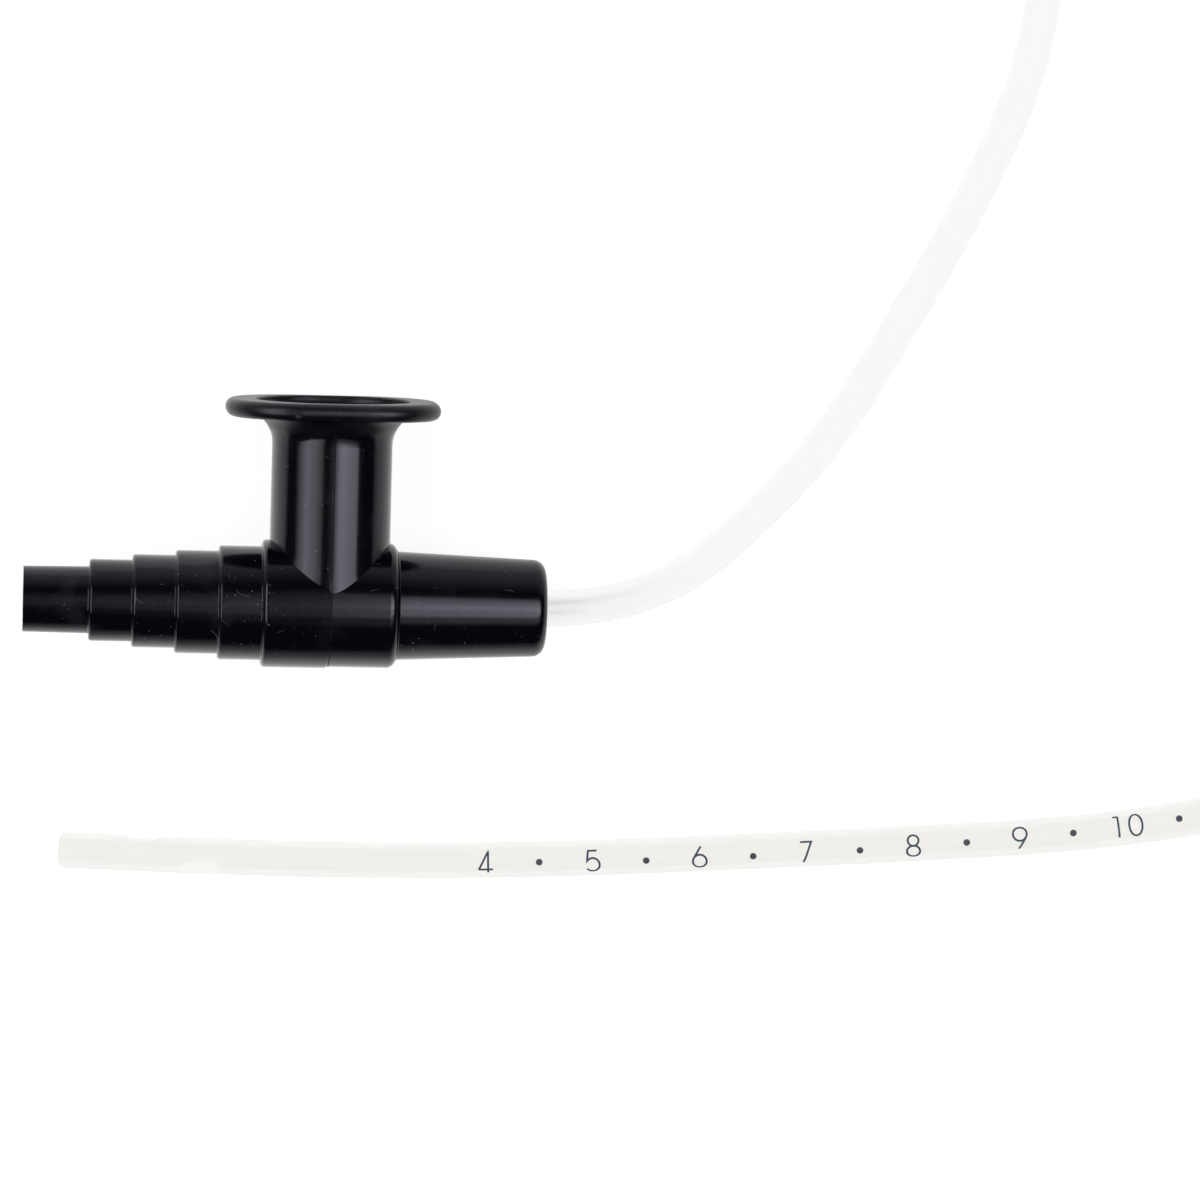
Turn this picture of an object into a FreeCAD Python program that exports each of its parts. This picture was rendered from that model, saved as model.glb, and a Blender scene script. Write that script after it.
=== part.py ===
import FreeCAD, Part
import math
import os
import Sketcher

# Suction catheter: a stepped T connector moulded in one piece, and the marked
# tube that is glued into its nozzle. Millimetres.
#
# The connector is drawn with its barrel along X, barbs towards -X and nozzle
# towards +X, and its thumb chimney along +Y. It is then laid down as it rests
# on a table: on the right shoulder of its body, the rim of its nozzle and one
# corner of its thumb flange. The finished part has its origin on the table,
# under the middle of the connector, with +Z up.

# Driving sizes: name, value and what it is.
SIZES = [
    ("barb_pitch", 3.98, "length of each barb step after the first"),
    ("tip_length", 6.08, "length of the first, thinnest barb step"),
    ("tip_radius", 3.05, "radius of the first step at its open end"),
    ("tip_root_radius", 3.11, "radius of the first step at its root"),
    ("barb_radius_two", 3.79, "radius of the second step"),
    ("barb_radius_three", 4.31, "radius of the third step"),
    ("barb_radius_four", 4.78, "radius of the fourth step"),
    ("barb_radius_five", 5.29, "radius of the fifth step"),
    ("barb_round", 0.26, "rounding of the shoulder of each step"),
    ("root_round", 0.16, "hollow fillet at the root of each step"),
    ("body_half_length", 6.29, "half of the length of the barrel's body"),
    ("body_radius", 5.93, "radius of the body's barb half"),
    ("body_radius_nozzle", 5.815, "radius of the body's nozzle half, a mould step smaller"),
    ("mould_line", 0.24, "distance of the mould step from the chimney's axis, at the barbs"),
    ("body_round_left", 0.45, "rounding of the body's shoulder at the barbs"),
    ("body_round_right", 0.85, "rounding of the body's shoulder at the nozzle"),
    ("nozzle_length", 13.86, "length of the tapered nozzle"),
    ("nozzle_root_radius", 5.05, "radius of the nozzle at the body"),
    ("nozzle_end_radius", 4.47, "radius of the nozzle at its open end"),
    ("nozzle_round", 1.15, "rounding of the nozzle's rim"),
    ("chimney_base_radius", 5.61, "outer radius of the chimney at the barrel's axis"),
    ("chimney_top_radius", 5.59, "outer radius of the chimney under its flare"),
    ("flare_radius", 3.0, "radius of the flare under the thumb flange"),
    ("flare_reach", 1.25, "how far the flare stands out from the chimney"),
    ("flange_height", 18.23, "barrel's axis to the middle of the thumb flange"),
    ("flange_thickness", 1.64, "thickness of the thumb flange"),
    ("flange_width", 19.9, "length of the flange along the barrel"),
    ("flange_depth", 15.4, "length of the flange across the barrel"),
    ("flange_corner", 6.8, "corner radius of the flange's outline"),
    ("flange_round", 0.80, "rounding of the flange's rim, above and below"),
    ("dish_width", 14.3, "length of the thumb dish along the barrel"),
    ("dish_depth", 12.6, "length of the thumb dish across the barrel"),
    ("dish_sink", 1.1, "depth of the thumb dish"),
    ("dish_curve", 0.8, "hollow curve between the dish's wall and floor"),
    ("dish_round", 0.2, "rounding of the dish's edge"),
    ("port_radius", 4.1, "radius of the bore down the chimney"),
    ("port_round", 0.7, "rounding of the bore's mouth in the dish"),
    ("port_floor", 2.6, "depth of the chimney's bore below the barrel's axis"),
    ("barb_bore_radius", 2.0, "radius of the bore through the barbs"),
    ("bore_break", 0.2, "broken edge at the mouth of a bore"),
    ("passage_radius", 1.3, "radius of the passage from the chimney to the tube"),
    ("socket_depth", 12.0, "depth of the nozzle's socket"),
    ("glue_gap", 0.03, "gap all round the tube in its socket"),
    ("tube_radius", 1.65, "outer radius of the tube"),
    ("tube_bore_radius", 1.1, "radius of the tube's lumen"),
    ("tube_tip_round", 0.3, "rounding of the tube's open tip"),
    ("eye_half_length", 1.85, "half of the length of a side eye"),
    ("eye_half_width", 1.15, "half of the width of a side eye"),
    ("eye_sink", 1.2, "how far an eye's cutter reaches below the tube's skin"),
    ("eye_one_from_tip", 7.7, "middle of the first eye, from the tip"),
    ("eye_two_from_tip", 13.3, "middle of the second eye, from the tip"),
    ("eye_one_turn", 84.0, "degrees of the first eye round the tube, from the top"),
    ("eye_two_turn", -52.0, "degrees of the second eye round the tube, from the top"),
    ("first_run", 3.2, "straight stretch of tube out of the nozzle"),
]

# The tube's free route after its first run, chosen by hand: x, y and height
# of its middle. It comes down from the nozzle, lies on the table in one open
# loop and ends at the tip.
ROUTE = [
    (33.05, -5.62, 3.15), (38.45, -2.72, 2.6), (44.05, 2.33, 2.05), (50.65, 9.63, 1.65),
    (57.65, 21.43, 1.65), (64.25, 33.63, 1.65), (68.75, 44.43, 1.65), (70.45, 55.73, 1.65),
    (73.05, 69.23, 1.65), (80.55, 82.23, 1.65), (96.05, 88.23, 1.65), (113.55, 86.73, 1.65),
    (126.55, 75.73, 1.65), (131.05, 58.23, 1.65), (131.55, 36.23, 1.65), (130.85, 13.23, 1.65),
    (126.55, -7.77, 1.65), (116.05, -17.97, 1.65), (99.05, -21.97, 1.65), (80.05, -26.67, 1.65),
    (50.05, -28.87, 1.65), (22.05, -30.57, 1.65), (-1.95, -30.89, 1.65), (-20.95, -30.32, 1.65),
]

ARC_SHARE = 0.45        # share of the shorter run that an arc of the route takes
SOLVER_STEPS = 60       # halvings in the search for the resting roll
BEYOND = 1.0            # how far a cutter runs past the face it opens
SMALL = 1e-6            # lengths under this are zero
NEAR = 1e-3             # how exactly an edge is found by its place
WHOLE_CIRCLE = 0.95     # share of a circle's length that tells it from shorter edges
STEEPEST_ROLL = 45.0    # degrees, the upper end of the search for the resting roll

X_AXIS = FreeCAD.Vector(1, 0, 0)
Y_AXIS = FreeCAD.Vector(0, 1, 0)
Z_AXIS = FreeCAD.Vector(0, 0, 1)

doc = FreeCAD.newDocument("suction_catheter")
sheet = doc.addObject("Spreadsheet::Sheet", "sizes")
for row, (alias, value, meaning) in enumerate(SIZES, start=1):
    sheet.set("A%d" % row, meaning)
    sheet.set("B%d" % row, str(value))
    sheet.setAlias("B%d" % row, alias)
doc.recompute()


class Size:
    """A size with its value now and the sheet formula that it is bound to."""

    def __init__(self, value, formula):
        self.value = float(value)
        self.formula = formula

    def join(self, other, sign, value):
        return Size(value, "(%s %s %s)" % (self.formula, sign, plain(other).formula))

    def __add__(self, other):
        return self.join(other, "+", self.value + plain(other).value)

    def __sub__(self, other):
        return self.join(other, "-", self.value - plain(other).value)

    def __mul__(self, other):
        return self.join(other, "*", self.value * plain(other).value)

    def __truediv__(self, other):
        return self.join(other, "/", self.value / plain(other).value)

    def __neg__(self):
        return plain(0.0) - self


def plain(number):
    """A bare number as a Size, or the Size itself."""
    return number if isinstance(number, Size) else Size(number, repr(float(number)))


def size(alias):
    """The driving size of that name."""
    return Size(getattr(sheet, alias), "sizes." + alias)


def root(amount):
    """Square root of a Size."""
    return Size(math.sqrt(amount.value), "sqrt(%s)" % amount.formula)


def bind(thing, path, amount):
    """Ties a property of an object to the sheet."""
    thing.setExpression(path, plain(amount).formula)


# Sketches


def new_sketch(body, name, role):
    """An empty sketch on one of the body's own origin planes."""
    sketch = body.newObject("Sketcher::SketchObject", name)
    plane = [item for item in body.Origin.OriginFeatures if item.Role == role][0]
    sketch.AttachmentSupport = [(plane, "")]
    sketch.MapMode = "FlatFace"
    return sketch


def dimension(sketch, kind, geometry, point, amount):
    """Sets how far a point lies from the sketch's origin, along one axis."""
    if abs(amount.value) < SMALL:
        axis = -2 if kind == "DistanceX" else -1
        sketch.addConstraint(Sketcher.Constraint("PointOnObject", geometry, point, axis))
        return
    if amount.value > 0:
        ends = (-1, 1, geometry, point, amount.value)
    else:
        amount = -amount
        ends = (geometry, point, -1, 1, amount.value)
    index = sketch.addConstraint(Sketcher.Constraint(kind, *ends))
    bind(sketch, "Constraints[%d]" % index, amount)


def outline(sketch, corners):
    """Draws a closed outline through corners of (x, y) or (x, y, rounding)."""
    spots = [FreeCAD.Vector(plain(c[0]).value, plain(c[1]).value, 0) for c in corners]
    rounds = [plain(c[2]) if len(c) > 2 else None for c in corners]
    count = len(corners)
    entry, leave, arcs = [], [], []
    for i in range(count):
        into = (spots[i] - spots[i - 1]).normalize()
        out = (spots[(i + 1) % count] - spots[i]).normalize()
        if rounds[i] is None:
            entry.append(spots[i])
            leave.append(spots[i])
            arcs.append(None)
            continue
        radius = rounds[i].value
        reach = radius * math.tan(into.getAngle(out) / 2)
        entry.append(spots[i] - into * reach)
        leave.append(spots[i] + out * reach)
        inward = (out - into).normalize()
        centre = spots[i] + inward * math.hypot(radius, reach)
        start, end = (entry[i] - centre), (leave[i] - centre)
        first, last = math.atan2(start.y, start.x), math.atan2(end.y, end.x)
        forward = into.cross(out).z > 0
        if not forward:
            first, last = last, first
        circle = Part.Circle(centre, Z_AXIS, radius)
        arcs.append((Part.ArcOfCircle(circle, first, last), forward))
    lines = []
    for i in range(count):
        after = (i + 1) % count
        lines.append(sketch.addGeometry(Part.LineSegment(leave[i], entry[after]), False))
    for i, corner in enumerate(corners):
        before = lines[i - 1]
        if arcs[i] is None:
            sketch.addConstraint(Sketcher.Constraint("Coincident", before, 2, lines[i], 1))
            dimension(sketch, "DistanceX", lines[i], 1, plain(corner[0]))
            dimension(sketch, "DistanceY", lines[i], 1, plain(corner[1]))
            continue
        curve, forward = arcs[i]
        arc = sketch.addGeometry(curve, False)
        begin, finish = (1, 2) if forward else (2, 1)
        mark = sketch.addGeometry(Part.Point(spots[i]), True)
        sketch.addConstraint(Sketcher.Constraint("Tangent", before, 2, arc, begin))
        sketch.addConstraint(Sketcher.Constraint("Tangent", arc, finish, lines[i], 1))
        sketch.addConstraint(Sketcher.Constraint("PointOnObject", mark, 1, before))
        sketch.addConstraint(Sketcher.Constraint("PointOnObject", mark, 1, lines[i]))
        index = sketch.addConstraint(Sketcher.Constraint("Radius", arc, rounds[i].value))
        bind(sketch, "Constraints[%d]" % index, rounds[i])
        dimension(sketch, "DistanceX", mark, 1, plain(corner[0]))
        dimension(sketch, "DistanceY", mark, 1, plain(corner[1]))


def turned(body, kind, sketch, axis):
    """A revolved boss or groove of a sketch round one of its axes."""
    feature = body.newObject("PartDesign::" + kind, sketch.Name.replace("_profile", ""))
    feature.Profile = sketch
    feature.ReferenceAxis = (sketch, [axis])
    feature.Angle = 360.0
    sketch.Visibility = False
    return feature


# Places along the connector that several features share.

barb_names = ("two", "three", "four", "five")
barb_radii = [size("barb_radius_" + name) for name in barb_names]
body_end = size("body_half_length")
barbs_start = -body_end - size("barb_pitch") * len(barb_radii)
open_end = barbs_start - size("tip_length")
nozzle_end = body_end + size("nozzle_length")
socket_floor = nozzle_end - size("socket_depth")
flange_under = size("flange_height") - size("flange_thickness") / 2
flange_top = size("flange_height") + size("flange_thickness") / 2
flare_gap = size("flare_radius") - size("flare_reach")
flare_rise = root(size("flare_radius") * size("flare_radius") - flare_gap * flare_gap)

connector = doc.addObject("PartDesign::Body", "connector_body")
connector.Label = "connector_body"

# Thumb flange: a plate with a rounded outline and a full-round rim.

flange_profile = new_sketch(connector, "flange_profile", "XZ_Plane")
half_width, half_depth = size("flange_width") / 2, size("flange_depth") / 2
outline(flange_profile, [
    (-half_width, -half_depth, size("flange_corner")),
    (half_width, -half_depth, size("flange_corner")),
    (half_width, half_depth, size("flange_corner")),
    (-half_width, half_depth, size("flange_corner")),
])
bind(flange_profile, "AttachmentOffset.Base.z", -flange_under)
flange = connector.newObject("PartDesign::Pad", "flange")
flange.Profile = flange_profile
flange.Reversed = True
bind(flange, "Length", size("flange_thickness"))
doc.recompute()

rim = connector.newObject("PartDesign::Fillet", "flange_rim")
upright = [abs(edge.Vertexes[0].Y - edge.Vertexes[-1].Y) > SMALL for edge in flange.Shape.Edges]
rim.Base = (flange, ["Edge%d" % (i + 1) for i, stands in enumerate(upright) if not stands])
bind(rim, "Radius", size("flange_round"))
doc.recompute()

# Chimney: a slightly tapered tube from the barrel's axis to the flange, with
# a flare that ends where the flange's rounded rim begins.

chimney_profile = new_sketch(connector, "chimney_profile", "XY_Plane")
flare_start = flange_under - flare_rise
flare_edge = size("chimney_top_radius") + size("flare_reach")
stem = [
    (plain(0), plain(0)),
    (size("chimney_base_radius"), plain(0)),
    (size("chimney_top_radius"), flare_start),
    (flare_edge, flange_under),
    (flare_edge, size("flange_height")),
    (plain(0), size("flange_height")),
]
spots = [FreeCAD.Vector(x.value, y.value, 0) for x, y in stem]
flare_centre = spots[2] + X_AXIS * size("flare_radius").value
flare_tip = spots[3] - flare_centre
stem_geometry = []
for i, spot in enumerate(spots):
    after = spots[(i + 1) % len(spots)]
    if i == 2:
        circle = Part.Circle(flare_centre, Z_AXIS, size("flare_radius").value)
        curve = Part.ArcOfCircle(circle, math.atan2(flare_tip.y, flare_tip.x), math.pi)
    else:
        curve = Part.LineSegment(spot, after)
    stem_geometry.append(chimney_profile.addGeometry(curve, False))
for i, (x, y) in enumerate(stem):
    before, here = stem_geometry[i - 1], stem_geometry[i]
    end_before = 1 if i == 3 else 2
    start_here = 2 if i == 2 else 1
    chimney_profile.addConstraint(
        Sketcher.Constraint("Coincident", before, end_before, here, start_here))
    dimension(chimney_profile, "DistanceX", here, start_here, x)
    dimension(chimney_profile, "DistanceY", here, start_here, y)
index = chimney_profile.addConstraint(
    Sketcher.Constraint("Radius", stem_geometry[2], size("flare_radius").value))
bind(chimney_profile, "Constraints[%d]" % index, size("flare_radius"))
turned(connector, "Revolution", chimney_profile, "V_Axis")

# Barrel: five barb steps, the body with its mould step, and the nozzle.

barrel_profile = new_sketch(connector, "barrel_profile", "XY_Plane")
corners = [(open_end, plain(0)), (open_end, size("tip_radius"))]
height = size("tip_root_radius")
for step, radius in enumerate(barb_radii):
    place = barbs_start + size("barb_pitch") * step
    corners.append((place, height, size("root_round")))
    corners.append((place, radius, size("barb_round")))
    height = radius
corners += [
    (-body_end, height, size("root_round")),
    (-body_end, size("body_radius"), size("body_round_left")),
    (-size("mould_line"), size("body_radius")),
    (-size("mould_line"), size("body_radius_nozzle")),
    (body_end, size("body_radius_nozzle"), size("body_round_right")),
    (body_end, size("nozzle_root_radius"), size("root_round")),
    (nozzle_end, size("nozzle_end_radius"), size("nozzle_round")),
    (nozzle_end, plain(0)),
]
outline(barrel_profile, corners)
turned(connector, "Revolution", barrel_profile, "H_Axis")

# Bore along the barrel: through the barbs, past the chimney and out through
# the socket that holds the tube.

barrel_bore_profile = new_sketch(connector, "barrel_bore_profile", "XY_Plane")
broken = size("bore_break")
bore = size("barb_bore_radius")
socket = size("tube_radius") + size("glue_gap")
outline(barrel_bore_profile, [
    (open_end - BEYOND, plain(0)),
    (open_end - BEYOND, bore + broken + BEYOND),
    (open_end + broken, bore),
    (plain(0), bore),
    (plain(0), size("passage_radius")),
    (socket_floor, size("passage_radius")),
    (socket_floor, socket),
    (nozzle_end - broken, socket),
    (nozzle_end + BEYOND, socket + broken + BEYOND),
    (nozzle_end + BEYOND, plain(0)),
])
turned(connector, "Groove", barrel_bore_profile, "H_Axis")

# Thumb dish: an oval bowl sunk into the flange, drawn as two half circles
# joined by short straights.

dish_profile = new_sketch(connector, "dish_profile", "XZ_Plane")
dish_half_width, dish_half_depth = size("dish_width") / 2, size("dish_depth") / 2
dish_straight = dish_half_width - dish_half_depth
ends = []
for side in (1, -1):
    middle = FreeCAD.Vector(dish_straight.value * side, 0, 0)
    circle = Part.Circle(middle, Z_AXIS, dish_half_depth.value)
    start = -math.pi / 2 * side
    ends.append(dish_profile.addGeometry(Part.ArcOfCircle(circle, start, start + math.pi), False))
    dimension(dish_profile, "DistanceX", ends[-1], 3, dish_straight * side)
    dimension(dish_profile, "DistanceY", ends[-1], 3, plain(0))
for here, there in (ends, ends[::-1]):
    leave = dish_profile.getPoint(here, 2)
    enter = dish_profile.getPoint(there, 1)
    line = dish_profile.addGeometry(Part.LineSegment(leave, enter), False)
    dish_profile.addConstraint(Sketcher.Constraint("Tangent", here, 2, line, 1))
    dish_profile.addConstraint(Sketcher.Constraint("Tangent", line, 2, there, 1))
index = dish_profile.addConstraint(Sketcher.Constraint("Radius", ends[0], dish_half_depth.value))
bind(dish_profile, "Constraints[%d]" % index, dish_half_depth)
bind(dish_profile, "AttachmentOffset.Base.z", -flange_top)
dish = connector.newObject("PartDesign::Pocket", "dish")
dish.Profile = dish_profile
dish.Reversed = True
bind(dish, "Length", size("dish_sink"))
doc.recompute()


def level_edges(feature, height, reach_x, reach_z):
    """Names of the edges at a height, within a rectangle round the chimney's axis."""
    names = []
    for i, edge in enumerate(feature.Shape.Edges, start=1):
        bounds = edge.BoundBox
        off_level = max(abs(bounds.YMin - height.value), abs(bounds.YMax - height.value))
        past_x = max(bounds.XMax, -bounds.XMin) - reach_x.value
        past_z = max(bounds.ZMax, -bounds.ZMin) - reach_z.value
        if max(off_level, past_x, past_z) < NEAR:
            names.append("Edge%d" % i)
    return names


dish_level = flange_top - size("dish_sink")
dish_floor = connector.newObject("PartDesign::Fillet", "dish_floor")
dish_floor.Base = (dish, level_edges(dish, dish_level, dish_half_width, dish_half_depth))
bind(dish_floor, "Radius", size("dish_curve"))
doc.recompute()

dish_edge = connector.newObject("PartDesign::Fillet", "dish_edge")
dish_edge.Base = (dish_floor, level_edges(dish_floor, flange_top, dish_half_width, dish_half_depth))
bind(dish_edge, "Radius", size("dish_round"))
doc.recompute()

# Bore down the chimney, a little deeper than the bore through the barbs.

port_profile = new_sketch(connector, "port_profile", "XY_Plane")
outline(port_profile, [
    (plain(0), -size("port_floor")),
    (size("port_radius"), -size("port_floor")),
    (size("port_radius"), flange_top + BEYOND),
    (plain(0), flange_top + BEYOND),
])
port = turned(connector, "Groove", port_profile, "V_Axis")
doc.recompute()

port_mouth = connector.newObject("PartDesign::Fillet", "port_mouth")
mouth = size("port_radius")
port_mouth.Base = (port, level_edges(port, dish_level, mouth, mouth))
bind(port_mouth, "Radius", size("port_round"))
doc.recompute()

# How the connector rests. Its barrel leans on the line that touches the body's
# rounded right shoulder and the nozzle's rounded rim, so the nozzle points
# down. It then rolls about the barrel until the flange touches the table.

shoulder = FreeCAD.Vector(
    body_end.value - size("body_round_right").value,
    size("body_radius_nozzle").value - size("body_round_right").value, 0)
rim_middle = FreeCAD.Vector(
    nozzle_end.value - size("nozzle_round").value,
    size("nozzle_end_radius").value - size("nozzle_round").value, 0)
span = rim_middle - shoulder
pitch = math.atan2(-span.y, span.x) - math.asin(
    (size("nozzle_round").value - size("body_round_right").value) / span.Length)
axis_height = (shoulder.x * math.sin(pitch) + shoulder.y * math.cos(pitch)
               + size("body_round_right").value)


def flange_drop(roll):
    """How far the flange's lowest point lies below the barrel's axis, rolled up."""
    down = FreeCAD.Vector(
        math.sin(pitch), -math.cos(pitch) * math.sin(roll), -math.cos(pitch) * math.cos(roll))
    corner = size("flange_corner").value
    edge = size("flange_round").value
    flat = size("flange_thickness").value / 2 - edge
    level = math.hypot(down.x, down.z)
    return ((half_width.value - corner) * abs(down.x) + (half_depth.value - corner) * abs(down.z)
            + (corner - edge) * level + edge + flat * abs(down.y)
            + size("flange_height").value * down.y)


low, high = 0.0, math.radians(STEEPEST_ROLL)
for halving in range(SOLVER_STEPS):
    middle = (low + high) / 2
    if flange_drop(middle) > axis_height:
        low = middle
    else:
        high = middle
roll = high

lean = FreeCAD.Rotation(Y_AXIS, math.degrees(pitch))
tilt = FreeCAD.Rotation(X_AXIS, math.degrees(roll))
connector.Placement = FreeCAD.Placement(FreeCAD.Vector(0, 0, axis_height), lean * tilt)
doc.recompute()
laid = connector.Shape.optimalBoundingBox(False, False)
connector.Placement.Base = FreeCAD.Vector(-laid.Center.x, -laid.Center.y, axis_height)
doc.recompute()


def on_axis(distance):
    """The point of the barrel's axis that far from the chimney, as it rests."""
    return connector.Placement.multVec(FreeCAD.Vector(distance, 0, 0))


# Tube: straight in its socket, then runs joined by tangent arcs.


def rounded_route(points):
    """The edges of straight runs joined by arcs, and the radii of the arcs."""
    edges, radii = [], []
    here = points[0]
    for before, corner, after in zip(points, points[1:], points[2:]):
        into, out = (corner - before), (after - corner)
        reach = ARC_SHARE * min(into.Length, out.Length)
        half = into.getAngle(out) / 2
        radius = reach / math.tan(half)
        into.normalize()
        out.normalize()
        start, end = corner - into * reach, corner + out * reach
        inward = (out - into).normalize()
        top = corner + inward * (radius / math.cos(half) - radius)
        edges.append(Part.LineSegment(here, start).toShape())
        edges.append(Part.Arc(start, top, end).toShape())
        radii.append(radius)
        here = end
    edges.append(Part.LineSegment(here, points[-1]).toShape())
    return edges, radii


seat = on_axis(socket_floor.value)
exit_point = on_axis(nozzle_end.value)
free_points = [exit_point, on_axis(nozzle_end.value + size("first_run").value)]
free_points += [FreeCAD.Vector(*point) for point in ROUTE]
free_edges, radii = rounded_route(free_points)
inside = Part.LineSegment(seat, free_edges[0].Vertexes[0].Point).toShape()
wire = Part.Wire([inside] + free_edges)
tube_length = sum(edge.Length for edge in free_edges)

route = doc.addObject("Part::Feature", "tube_route")
route.Shape = wire
start_turn = FreeCAD.Rotation(Z_AXIS, exit_point - seat)
hoses = []
for name, alias in (("tube_outside", "tube_radius"), ("tube_lumen", "tube_bore_radius")):
    ring = doc.addObject("Part::Circle", name + "_ring")
    bind(ring, "Radius", size(alias))
    ring.Placement = FreeCAD.Placement(seat, start_turn)
    hose = doc.addObject("Part::Sweep", name)
    hose.Sections = [ring]
    hose.Spine = (route, ["Edge%d" % (i + 1) for i in range(len(wire.Edges))])
    hose.Solid = True
    hose.Frenet = False
    hoses.append(hose)
doc.recompute()

tip = free_points[-1]
along = (free_points[-2] - tip).normalize()


def at_tip(edge):
    """Whether an edge of the outer tube is the circle of its open tip."""
    radius = size("tube_radius").value
    near = all((vertex.Point - tip).Length < 2 * radius for vertex in edge.Vertexes)
    return near and edge.Length > WHOLE_CIRCLE * math.tau * radius


rounded = doc.addObject("Part::Fillet", "tube_rounded")
rounded.Base = hoses[0]
tip_round = size("tube_tip_round").value
rounded.Edges = [(i, tip_round, tip_round) for i, edge in enumerate(hoses[0].Shape.Edges, start=1)
                 if at_tip(edge)]
doc.recompute()

# Side eyes: oval holes through one wall, cut by an ellipsoid that is centred
# on the tube's skin.

sideways = Z_AXIS.cross(along)
eyes = []
for number in ("one", "two"):
    middle = tip + along * size("eye_%s_from_tip" % number).value
    turn = math.radians(size("eye_%s_turn" % number).value)
    outward = Z_AXIS * math.cos(turn) + sideways * math.sin(turn)
    cutter = doc.addObject("Part::Ellipsoid", "eye_" + number)
    bind(cutter, "Radius1", size("eye_sink"))
    bind(cutter, "Radius2", size("eye_half_length"))
    bind(cutter, "Radius3", size("eye_half_width"))
    frame = FreeCAD.Rotation(along, outward.cross(along), outward, "XYZ")
    cutter.Placement = FreeCAD.Placement(middle + outward * size("tube_radius").value, frame)
    eyes.append(cutter)

hollow = doc.addObject("Part::Cut", "tube_hollow")
hollow.Base = rounded
hollow.Tool = hoses[1]
punched = doc.addObject("Part::MultiFuse", "eye_cutters")
punched.Shapes = eyes
tube = doc.addObject("Part::Cut", "catheter_tube")
tube.Base = hollow
tube.Tool = punched
tube.Label = "catheter_tube"
doc.recompute()

# Checks on the model, then the files.

failed = [item.Name for item in doc.Objects if {"Invalid", "Error"} & set(item.State)]
if failed:
    raise RuntimeError("these did not recompute: " + ", ".join(failed))
os.makedirs("parts", exist_ok=True)
for piece in (connector, tube):
    shape = piece.Shape
    if shape.isNull() or not shape.isValid() or len(shape.Solids) != 1:
        raise RuntimeError(piece.Label + " is not one valid solid")
    shape.exportStep("parts/%s.step" % piece.Label)
    print(piece.Label, "volume %.1f mm3" % shape.Volume, "solids", len(shape.Solids))

wall_area = math.pi * (size("tube_radius").value ** 2 - size("tube_bore_radius").value ** 2)
expected = wall_area * wire.Length
print("pitch %.2f, roll %.2f degrees" % (math.degrees(pitch), math.degrees(roll)))
print("exit", [round(v, 3) for v in exit_point], "seat", [round(v, 3) for v in seat])
print("first free points", [[round(v, 2) for v in p] for p in free_points[:2]])
print("tube length from exit %.1f mm, in the wire %.1f mm" % (tube_length, wire.Length))
print("tube volume %.1f mm3, section times length %.1f mm3" % (hollow.Shape.Volume, expected))
print("arc radii", [round(radius, 1) for radius in radii])
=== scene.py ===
"""Looks of a suction catheter: a glossy black stepped T connector with a thumb
flange, and a milky translucent tube with two side eyes and printed
centimetre marks, lying on a white table in soft studio light. Metres."""
import math

import bpy
import numpy as np
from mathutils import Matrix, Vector


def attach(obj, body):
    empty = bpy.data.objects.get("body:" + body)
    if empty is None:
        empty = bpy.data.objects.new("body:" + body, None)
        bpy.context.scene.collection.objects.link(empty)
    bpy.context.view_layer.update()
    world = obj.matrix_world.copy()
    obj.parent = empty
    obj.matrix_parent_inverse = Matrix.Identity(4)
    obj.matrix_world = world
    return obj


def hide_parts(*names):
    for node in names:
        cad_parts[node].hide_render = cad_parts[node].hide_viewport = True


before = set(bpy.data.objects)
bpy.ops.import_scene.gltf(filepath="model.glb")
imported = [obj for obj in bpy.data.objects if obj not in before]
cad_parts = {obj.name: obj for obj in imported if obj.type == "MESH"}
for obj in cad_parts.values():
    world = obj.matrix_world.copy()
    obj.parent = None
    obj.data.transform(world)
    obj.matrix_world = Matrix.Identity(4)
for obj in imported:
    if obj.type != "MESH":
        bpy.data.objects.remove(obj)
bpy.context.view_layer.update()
scene = bpy.context.scene
MM = 0.001
CENTIMETRE = 10 * MM

# Sizes of the tube and axes of the connector, as in the solid model, but for
# the rounding of the tip, which is a little larger here.

TUBE_RADIUS = 1.65 * MM
LUMEN_RADIUS = 1.1 * MM
LUMEN_CHAMFER = 0.06 * MM
TIP_ROUND, TIP_SLOPE = 0.45 * MM, 0.7 * MM                  # across and along the tube
SOCKET_DEPTH = 12.0 * MM
BARREL = Vector((0.99512, 0.0, -0.09863)).normalized()      # direction of the nozzle
CHIMNEY = Vector((0.00899, 0.99584, 0.09071)).normalized()  # direction of the chimney
CROSSING = Vector((4.032, -6.836, 6.327)) * MM              # where their axes cross

# The tube's free route in millimetres: its exit from the nozzle, the end of
# its first straight run, then the points of the open loop, to the tip.

ROUTE = [
    (24.084, -6.836, 4.34), (27.268, -6.836, 4.024),
    (33.05, -5.62, 3.15), (38.45, -2.72, 2.6), (44.05, 2.33, 2.05), (50.65, 9.63, 1.65),
    (57.65, 21.43, 1.65), (64.25, 33.63, 1.65), (68.75, 44.43, 1.65), (70.45, 55.73, 1.65),
    (73.05, 69.23, 1.65), (80.55, 82.23, 1.65), (96.05, 88.23, 1.65), (113.55, 86.73, 1.65),
    (126.55, 75.73, 1.65), (131.05, 58.23, 1.65), (131.55, 36.23, 1.65), (130.85, 13.23, 1.65),
    (126.55, -7.77, 1.65), (116.05, -17.97, 1.65), (99.05, -21.97, 1.65), (80.05, -26.67, 1.65),
    (50.05, -28.87, 1.65), (22.05, -30.57, 1.65), (-1.95, -30.89, 1.65), (-20.95, -30.32, 1.65),
]


def link(obj):
    """Puts a new object into the scene."""
    scene.collection.objects.link(obj)
    return obj


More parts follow.
